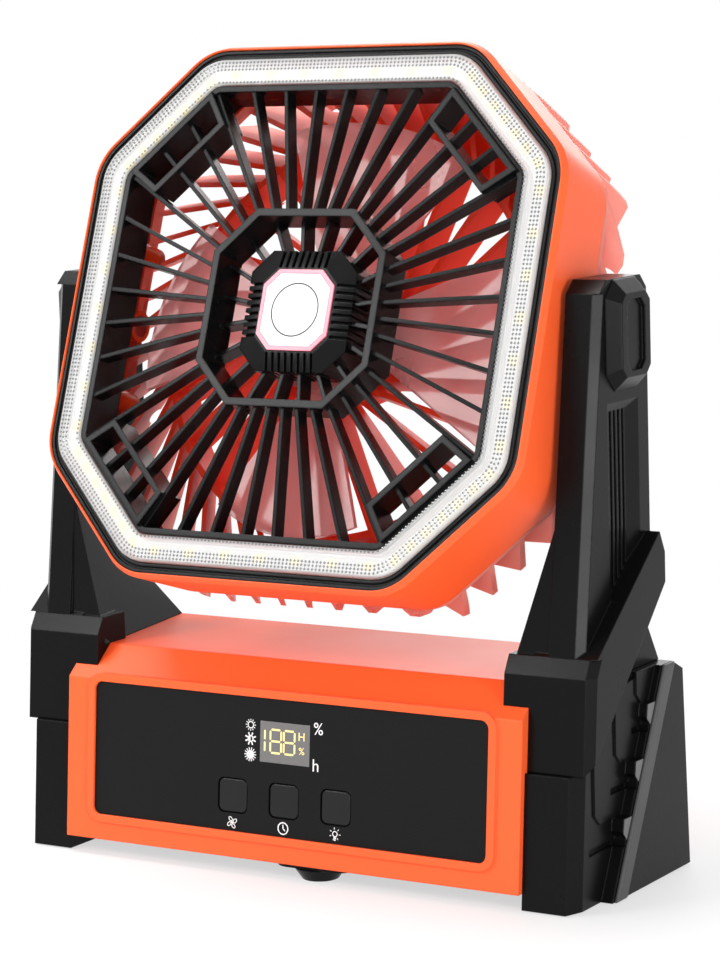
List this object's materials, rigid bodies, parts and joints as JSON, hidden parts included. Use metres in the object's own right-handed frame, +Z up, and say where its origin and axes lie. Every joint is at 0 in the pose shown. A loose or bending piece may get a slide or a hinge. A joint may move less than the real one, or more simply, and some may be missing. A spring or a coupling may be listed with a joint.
{
  "type": "electric fan",
  "caption": "Tabletop camping fan: an octagonal tilting head with a ring light and a ribbed grille, carried by two arms on a battery base with a key panel.",
  "frame": {"origin": "on the floor, under the middle of the outline at rest", "axes": "+X to the right seen from the front, +Y to the back, +Z up; the control face and the head look towards -Y"},
  "size_m": [0.239, 0.1179, 0.2894],
  "materials": {
    "orange_shell": "satin moulded orange",
    "orange_guard": "moulded orange-red, slightly translucent in life",
    "blade_plastic": "pale pink translucent moulding",
    "black_plastic": "fine matte texture",
    "charcoal_plastic": "matte charcoal",
    "fascia_black": "fine grain",
    "key_rubber": "matte",
    "lens_clear": "clear with fine prisms",
    "window_smoke": "smoked clear",
    "led_white": "pale yellow phosphor",
    "white_board": "white solder mask",
    "green_board": "green solder mask",
    "badge_white": "printed white",
    "badge_pink": "printed pink",
    "pad_rubber": "soft matte",
    "steel": "zinc plated",
    "bronze": "sintered bronze",
    "magnet": "ferrite",
    "cell_wrap": "shrink wrapped",
    "display_grey": "grey"
  },
  "bodies": {
    "base": {"base_shell": "orange_shell", "base_floor": "black_plastic", "control_fascia": "fascia_black", "display_window": "window_smoke", "display_module": "display_grey", "control_board": "green_board", "tact_switches": "charcoal_plastic", "board_screws": "steel", "battery_holder": "black_plastic", "battery_cells": "cell_wrap", "battery_contacts": "steel", "power_board": "green_board", "charge_inlet": "steel", "base_screws": "steel", "end_cap_left": "black_plastic", "end_cap_right": "black_plastic", "cap_screws": "steel", "side_rail_left": "charcoal_plastic", "side_rail_right": "charcoal_plastic", "foot_pads": "pad_rubber", "front_foot": "black_plastic", "arm_left": "black_plastic", "arm_right": "black_plastic", "arm_cover_left": "black_plastic", "arm_cover_right": "black_plastic", "arm_screws": "steel", "pivot_bushes": "bronze", "friction_washers": "charcoal_plastic", "pivot_cap_left": "black_plastic", "pivot_cap_right": "black_plastic"},
    "head": {"head_shell": "orange_shell", "front_grille": "black_plastic", "lens_trim": "black_plastic", "lens_ring": "lens_clear", "led_board": "white_board", "led_chips": "led_white", "badge_border": "badge_pink", "badge_plate": "badge_white", "rear_guard": "orange_guard", "motor_can": "steel", "motor_end_bell": "black_plastic", "motor_magnets": "magnet", "motor_bushes": "bronze", "motor_screws": "steel", "guard_screws": "steel", "grille_screws": "steel", "tilt_pin_left": "steel", "tilt_pin_right": "steel", "tilt_nuts": "steel"},
    "impeller": {"impeller": "blade_plastic", "motor_shaft": "steel", "motor_rotor": "steel", "impeller_cap": "blade_plastic"},
    "fan_key": {"fan_button": "key_rubber"},
    "timer_key": {"timer_button": "key_rubber"},
    "light_key": {"light_button": "key_rubber"}
  },
  "joints": [
    {"name": "head_tilt", "type": "hinge", "parent": "base", "child": "head", "pos_m": [0, 0.003, 0.1885], "axis": [1, 0, 0], "range_deg": [-69.5, 110.5]},
    {"name": "impeller_spin", "type": "hinge", "parent": "head", "child": "impeller", "pos_m": [0, 0.003, 0.1885], "axis": [0, -0.9367, 0.3502], "continuous": true},
    {"name": "fan_button_press", "type": "slide", "parent": "base", "child": "fan_key", "axis": [0, 0.9956, -0.0941], "range_m": [0, 0.0006], "stiffness_N_per_m": 800},
    {"name": "timer_button_press", "type": "slide", "parent": "base", "child": "timer_key", "axis": [0, 0.9956, -0.0941], "range_m": [0, 0.0006], "stiffness_N_per_m": 800},
    {"name": "light_button_press", "type": "slide", "parent": "base", "child": "light_key", "axis": [0, 0.9956, -0.0941], "range_m": [0, 0.0006], "stiffness_N_per_m": 800}
  ]
}
